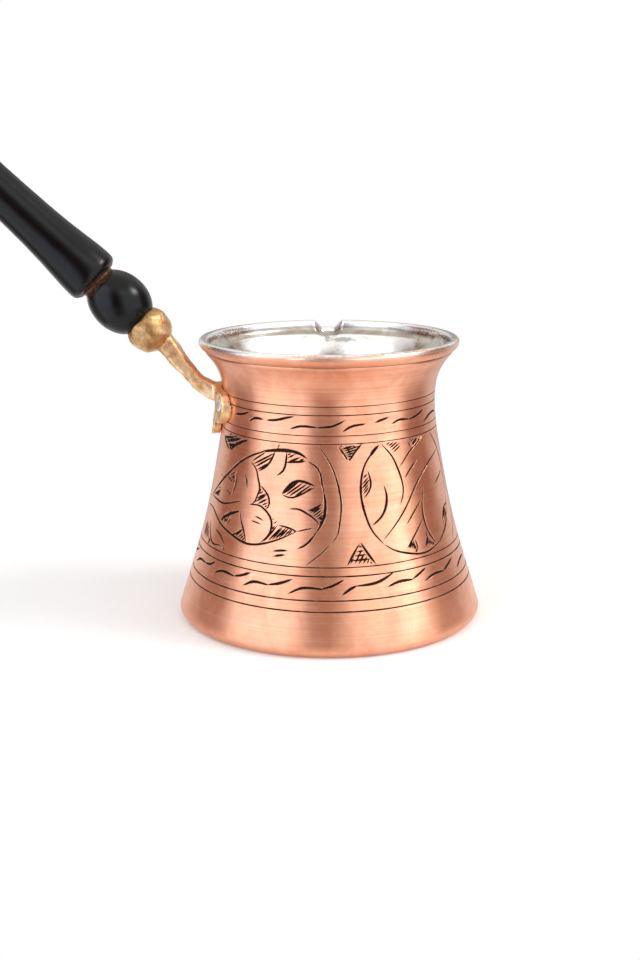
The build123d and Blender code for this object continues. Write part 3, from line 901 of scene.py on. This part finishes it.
# ----------------------------------------------------------------- materials
class Nodes:
    """Builds a node tree."""

    def __init__(self, tree):
        self.tree = tree

    def node(self, kind, output=None, settings=(), **inputs):
        """Adds a node and returns it, or the output of this name."""
        made = self.tree.nodes.new("ShaderNode" + kind)
        for key, value in dict(settings).items():
            setattr(made, key, value)
        for key, value in inputs.items():
            numbered = key.startswith("_")
            self.feed(made.inputs[int(key[1:]) if numbered else key.replace("_", " ")], value)
        return made if output is None else made.outputs[output]

    def feed(self, socket, value):
        """Links a socket to an output, or sets it to a number, colour or vector."""
        if isinstance(value, bpy.types.NodeSocket):
            self.tree.links.new(value, socket)
        elif socket.type == "RGBA" and len(value) == 3:
            socket.default_value = (*value, 1)
        else:
            socket.default_value = value

    def ramp(self, value, *stops):
        """Maps a value through (position, colour or grey) stops."""
        made = self.node("ValToRGB", Fac=value)
        elements = made.color_ramp.elements
        while len(elements) < len(stops):
            elements.new(0.5)
        for element, (position, colour) in zip(elements, stops):
            element.position = position
            element.color = (*colour, 1) if isinstance(colour, tuple) else (*[colour] * 3, 1)
        return made.outputs["Color"]

    def scaled(self, value, low, high, first=0.0, last=1.0):
        """Maps first..last onto low..high."""
        limits = {"From_Min": first, "From_Max": last, "To_Min": low, "To_Max": high}
        return self.node("MapRange", "Result", Value=value, **limits)

    def mix(self, share, first, second):
        return self.node("Mix", 2, {"data_type": "RGBA"}, _0=share, _6=first, _7=second)

    def sum(self, first, second, operation="ADD"):
        return self.node("Math", 0, {"operation": operation}, _0=first, _1=second)

    def times(self, first, second):
        return self.sum(first, second, "MULTIPLY")


class Paint(Nodes):
    """One Principled material."""

    def __init__(self, name, **shader_values):
        self.material = bpy.data.materials.new(name)
        self.material.use_nodes = True
        super().__init__(self.material.node_tree)
        self.shader = self.tree.nodes["Principled BSDF"]
        self.lean = 0.0
        self.wire(**shader_values)

    def place(self, x, y, z):
        """Object coordinates times these scales, per metre, tipped by the lean about Y first."""
        source = self.node("TexCoord", "Object")
        if self.lean:
            source = self.node("Mapping", "Vector", Vector=source, Rotation=(0, -self.lean, 0))
        return self.node("Mapping", "Vector", Vector=source, Scale=(x, y, z))

    def noise(self, scale, detail=3.0, roughness=0.5, distortion=0.0):
        return self.node(
            "TexNoise", "Fac", Vector=self.place(*scale), Scale=1.0,
            Detail=detail, Roughness=roughness, Distortion=distortion,
        )

    def veins(self, scale, width):
        """Thin wandering lines, in patches."""
        wander = self.node("TexNoise", "Color", Vector=self.place(*scale), Scale=1.3, Detail=3.0)
        bent = self.mix(0.35, self.place(*scale), wander)
        to_edge = {"feature": "DISTANCE_TO_EDGE"}
        away = self.node("TexVoronoi", "Distance", to_edge, Vector=bent, Scale=1.0)
        lines = self.ramp(away, (0.0, 1.0), (width, 0.0))
        patches = self.ramp(self.noise([s / 3 for s in scale], 2.0), (0.50, 0.0), (0.60, 1.0))
        return self.times(lines, patches)

    def along(self, axis):
        """How far out along one axis of the object, in metres."""
        return self.node("SeparateXYZ", axis, _0=self.node("TexCoord", "Object"))

    def attribute(self, name):
        return self.node("Attribute", "Fac", {"attribute_name": name})

    def bump(self, height, strength, distance):
        made = self.node("Bump", "Normal", Height=height, Strength=strength, Distance=distance)
        self.wire(Normal=made)

    def wire(self, **sockets):
        for key, value in sockets.items():
            self.feed(self.shader.inputs[key.replace("_", " ")], value)


def copper_material():
    """Brushed copper with warm stains, dark patina left in the cuts, and painted shade in the
    crease under the lip.
    """
    paint = Paint("copper", Metallic=1.0, Anisotropic=0.88, Anisotropic_Rotation=0.25)
    streaks = paint.noise((22, 22, 2200), 4.0)
    hairs = paint.noise((60, 60, 9000), 2.0)
    stains = paint.noise((150, 150, 110), 5.0, 0.62, 0.6)
    cloud = paint.noise((45, 45, 35), 2.0)
    tone = paint.ramp(
        paint.mix(0.40, stains, streaks),
        (0.34, (0.73, 0.305, 0.173)), (0.50, (0.84, 0.404, 0.248)), (0.66, (0.91, 0.514, 0.362)),
    )
    warm = paint.ramp(stains, (0.54, 0.0), (0.68, 1.0))
    tone = paint.mix(paint.times(warm, 0.6), tone, (0.90, 0.42, 0.18))
    tone = paint.mix(paint.scaled(cloud, 0.0, 0.25), tone, (0.84, 0.35, 0.23))
    veins = paint.veins((170, 170, 170), 0.05)
    tone = paint.mix(paint.times(veins, 0.30), tone, (0.95, 0.56, 0.34))
    # patina in the cuts and painted shade in the crease darken the copper
    patina = paint.ramp(paint.attribute("patina"), (0.08, 0.0), (0.42, 1.0))
    tone = paint.mix(patina, tone, (0.042, 0.024, 0.018))
    paint.wire(Base_Color=tone)
    rough = paint.scaled(streaks, 0.31, 0.39)
    rough = paint.mix(patina, rough, (0.75, 0.75, 0.75))
    paint.wire(Roughness=rough)
    paint.wire(Tangent=paint.node("Tangent", "Tangent", {"direction_type": "RADIAL", "axis": "Z"}))
    dents = paint.noise((130, 130, 90), 2.0)
    height = paint.sum(paint.times(hairs, 0.11), paint.times(dents, 4.0))
    height = paint.sum(height, paint.times(streaks, 0.15))
    paint.bump(height, 0.5, 0.00006)
    return paint.material


def tin_material():
    """Hand-wiped tin: bright, dull where it is tarnished, with a painted dark reflection in the
    band under the lip, darker streaks painted at the spout, and copper at its worn edge.
    """
    paint = Paint("tin", Metallic=1.0)
    smears = paint.noise((90, 90, 260), 4.0, 0.6, 1.2)
    grains = paint.noise((900, 900, 1400), 3.0)
    blots = paint.noise((170, 170, 300), 4.0, 0.6, 0.8)
    tone = paint.ramp(
        smears, (0.30, (0.80, 0.78, 0.74)), (0.50, (0.89, 0.88, 0.86)), (0.70, (0.94, 0.935, 0.92)),
    )
    mottled = paint.ramp(
        blots, (0.34, (0.18, 0.13, 0.09)), (0.43, (0.46, 0.39, 0.30)), (0.62, (0.70, 0.64, 0.54)),
    )
    # tarnish and painted dark reflection: the olive-grey tone of the band under the lip
    olive = paint.ramp(blots, (0.35, (0.30, 0.255, 0.20)), (0.65, (0.47, 0.425, 0.36)))
    zones = (
        ("band", olive, smears, 0.35),
        ("sides", mottled, smears, 0.50),
        # the streaks at the spout are painted darker
        ("smudge", (0.45, 0.44, 0.43), grains, 0.95),
    )
    for name, dull, texture, edge in zones:
        share = paint.sum(paint.attribute(name), paint.scaled(texture, -edge, edge))
        tone = paint.mix(paint.ramp(share, (0.20, 0.0), (0.62, 0.95)), tone, dull)
    worn = paint.sum(paint.attribute("wear"), paint.scaled(grains, -0.45, 0.35))
    worn = paint.ramp(worn, (0.42, 0.0), (0.62, 1.0))
    tone = paint.mix(worn, tone, (0.80, 0.46, 0.33))
    paint.wire(Base_Color=tone, Roughness=paint.scaled(smears, 0.20, 0.36))
    height = paint.sum(paint.times(smears, 0.9), paint.times(grains, 0.12))
    paint.bump(height, 0.6, 0.00013)
    return paint.material


LIT_ARM_SPAN = (-0.0465, -0.0425)      # between these places along X the casting turns pale: a painted highlight for the light the arm reflects


def brass_material(name, low, high, rough, paint_lit_arm=False):
    """Cast or drawn brass, golden with orange patches and fine pits, optionally with a painted
    highlight that turns the arm pale.
    """
    paint = Paint(name, Metallic=1.0)
    patches = paint.noise((260, 260, 260), 4.0, 0.6, 0.5)
    pits = paint.noise((1500, 1500, 1500), 4.0, 0.65)
    tone = paint.ramp(patches, (0.34, low), (0.52, high), (0.70, (0.86, 0.62, 0.36)))
    # painted highlight: the casting is painted paler from the arm towards the pot
    if paint_lit_arm:
        arm = paint.scaled(paint.along("X"), 0.0, 1.0, *LIT_ARM_SPAN)
        painted_highlight = paint.ramp(
            patches,
            (0.34, (0.56, 0.30, 0.14)), (0.50, (0.84, 0.55, 0.29)), (0.66, (0.93, 0.72, 0.47)),
        )
        tone = paint.mix(paint.ramp(arm, (0.0, 0.0), (1.0, 1.0)), tone, painted_highlight)
    spots = paint.ramp(pits, (0.30, 1.0), (0.38, 0.0))
    tone = paint.mix(spots, tone, (0.20, 0.11, 0.05))
    paint.wire(Base_Color=tone, Roughness=paint.scaled(patches, rough + 0.3, rough))
    height = paint.sum(paint.times(patches, 1.0), paint.times(pits, 0.25))
    paint.bump(height, 0.5, 0.00025)
    return paint.material


def wood_material():
    """Black lacquered wood with faint grain, bare and brown in the turned groove."""
    paint = Paint("black_wood", Coat_Weight=0.34, Coat_Roughness=0.23, Specular_IOR_Level=0.08)
    paint.lean = HANDLE_LEAN
    grain = paint.noise((1400, 1400, 60), 4.0, 0.6)
    scuffs = paint.noise((420, 420, 300), 4.0, 0.65)
    black = paint.ramp(grain, (0.35, (0.0015, 0.0014, 0.0015)), (0.70, (0.004, 0.0036, 0.0038)))
    brown = paint.ramp(grain, (0.35, (0.030, 0.012, 0.006)), (0.65, (0.10, 0.043, 0.022)))
    paint.wire(Base_Color=paint.mix(paint.attribute("bare"), black, brown))
    paint.wire(Roughness=paint.scaled(scuffs, 0.16, 0.26))
    height = paint.sum(paint.times(grain, 0.6), scuffs)
    paint.bump(height, 0.25, 0.00012)
    return paint.material


def rivet_material():
    """Soft bright metal, hammered flat."""
    paint = Paint("rivet_metal", Metallic=1.0)
    beaten = paint.noise((700, 700, 700), 3.0, 0.6)
    tone = paint.ramp(beaten, (0.35, (0.58, 0.56, 0.54)), (0.65, (0.86, 0.85, 0.84)))
    paint.wire(Base_Color=tone, Roughness=paint.scaled(beaten, 0.26, 0.46))
    paint.bump(beaten, 0.5, 0.00018)
    return paint.material


def steel_material():
    """Turned steel of the hidden stud."""
    paint = Paint("stud_steel", Metallic=1.0)
    lines = paint.noise((200, 200, 4000), 3.0)
    paint.wire(Base_Color=paint.ramp(lines, (0.3, (0.38, 0.38, 0.39)), (0.7, (0.56, 0.56, 0.57))))
    paint.wire(Roughness=paint.scaled(lines, 0.30, 0.45))
    return paint.material


def floor_material():
    """Plain white board."""
    paint = Paint("white_board", Roughness=0.9, Specular_IOR_Level=0.1)
    paint.wire(Emission_Color=(1.0, 1.0, 1.0), Emission_Strength=0.13)
    fibre = paint.noise((900, 900, 900), 2.0)
    paint.wire(Base_Color=paint.ramp(fibre, (0.3, (0.79, 0.79, 0.79)), (0.7, (0.82, 0.82, 0.82))))
    return paint.material


# ------------------------------------------------------- camera, floor, light
CAMERA_LENS = 52.5
CAMERA_PLACE = (-2.58, -382.4, 131.5)
CAMERA_PITCH = 13.80            # degrees below the horizontal
CAMERA_ROLL = -0.19
FLOOR_RADIUS, FLOOR_SIDES = 130.0, 96
# What the pot sees around it: degrees from the front towards +X, and brightness or colour.
LEFT_BOX = (0.87, 0.96, 1.10)
RIGHT_BOX = (0.78, 0.81, 0.88)
BACKDROP = (0.40, 0.415, 0.43)
BEHIND = (0.20, 0.175, 0.155)
ROOM = (0.090, 0.029, 0.016)            # the dim room, seen between the softboxes
GAP = (0.140, 0.062, 0.048)
SKY_GAP = 0.40
SKY_LAMP = 8.0
CEILING = (0.56, 0.55, 0.53)
BELOW = (0.42, 0.42, 0.42)
NEAR_HORIZON = (
    (-180, BEHIND), (-168, BEHIND), (-158, BACKDROP), (-138, BACKDROP), (-118, GAP), (-93, GAP),
    (-76, LEFT_BOX), (-31, LEFT_BOX), (-15, ROOM), (3, ROOM), (25, RIGHT_BOX), (76, RIGHT_BOX),
    (91, GAP), (114, GAP), (138, BACKDROP), (158, BACKDROP), (168, BEHIND), (180, BEHIND),
)
HIGHER_UP = (
    (-180, 0.40), (-118, 0.40), (-92, 0.30), (-74, 1.15), (-32, 1.15), (-16, SKY_GAP), (4, SKY_GAP),
    (24, 1.05), (66, 0.90), (74, SKY_LAMP), (90, SKY_LAMP), (98, 0.30), (118, 0.40), (180, 0.40),
)
FLOOR_FADE = ((0.36, 0.35), (0.46, 0.0))    # share of each zone, by height from 0 below to 1 above
UPPER_FADE = ((0.75, 0.0), (0.80, 1.0))
CEILING_FADE = ((0.84, 0.0), (0.89, 1.0))
LIGHT_STRENGTH = 2.0


def make_camera():
    data = bpy.data.cameras.new("camera")
    data.lens = CAMERA_LENS
    data.sensor_width = 36.0
    camera = new_object("camera", data)
    camera.location = Vector(CAMERA_PLACE) * MM
    pitch = Matrix.Rotation(math.radians(90 - CAMERA_PITCH), 4, "X")
    roll = Matrix.Rotation(math.radians(CAMERA_ROLL), 4, "Z")
    camera.rotation_euler = (pitch @ roll).to_euler()
    bpy.context.scene.camera = camera


def make_floor():
    """A round white board under the pot."""
    turns = [2 * math.pi * i / FLOOR_SIDES for i in range(FLOOR_SIDES)]
    rim = [(FLOOR_RADIUS * math.cos(t), FLOOR_RADIUS * math.sin(t), 0) for t in turns]
    floor = new_object("floor", new_mesh("floor", rim, [tuple(range(FLOOR_SIDES))]))
    floor.data.materials.append(floor_material())


def make_world():
    """A white studio: two tall softboxes in front with a dim room between, a pale wall behind."""
    world = bpy.data.worlds.new("studio")
    world.use_nodes = True
    bpy.context.scene.world = world
    world.node_tree.nodes.clear()
    sky = Nodes(world.node_tree)
    parts = sky.node("SeparateXYZ", _0=sky.node("TexCoord", "Generated"))
    x, y, z = (parts.outputs[axis] for axis in "XYZ")
    azimuth = sky.sum(x, sky.times(y, -1.0), "ARCTAN2")
    turn = sky.scaled(azimuth, 0.0, 1.0, -math.pi, math.pi)
    level, above = (
        sky.ramp(turn, *((0.5 + degrees / 360, colour) for degrees, colour in belt))
        for belt in (NEAR_HORIZON, HIGHER_UP)
    )
    height = sky.scaled(z, 0.0, 1.0, -1.0, 1.0)
    colour = sky.mix(sky.ramp(height, *FLOOR_FADE), level, BELOW)
    colour = sky.mix(sky.ramp(height, *UPPER_FADE), colour, above)
    colour = sky.mix(sky.ramp(height, *CEILING_FADE), colour, CEILING)
    light = sky.node("Background", 0, Color=colour, Strength=LIGHT_STRENGTH)
    white = sky.node("Background", 0, Color=(1, 1, 1), Strength=1.0)
    seen = sky.node("LightPath", "Is Camera Ray")
    both = sky.node("MixShader", 0, _0=seen, _1=light, _2=white)
    sky.node("OutputWorld", Surface=both)
    bpy.context.scene.view_settings.view_transform = "Standard"


# --------------------------------------------------------------------- making
# voxel size, size and height of each kind of lump, size and depth of the dimples
BRACKET_FINISH = (0.30, ((5.0, 0.30), (1.9, 0.10), (0.75, 0.03)), (3.3, 0.34))
RIVET_FINISH = (0.12, ((1.3, 0.10), (0.6, 0.04)), (1.2, 0.08))

make_camera()
make_floor()
make_world()
make_copper_body(copper_material())
make_tin_lining(tin_material())
cast_brass = brass_material("cast_brass", (0.33, 0.165, 0.062), (0.51, 0.31, 0.135), 0.28, True)
wire_brass = brass_material("wire_brass", (0.78, 0.50, 0.18), (0.88, 0.64, 0.28), 0.18)
cast_copy("handle_bracket", "cast_bracket", *BRACKET_FINISH, "cast_brass", cast_brass)
rivet_metal = rivet_material()
for side in ("right", "left"):
    cast_copy(f"rivet_{side}", f"{side}_rivet", *RIVET_FINISH, "rivet_metal", rivet_metal)
make_grip(wood_material())
make_eye(wire_brass)
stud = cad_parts["handle_stud"]
stud.data.materials.clear()
stud.data.materials.append(steel_material())
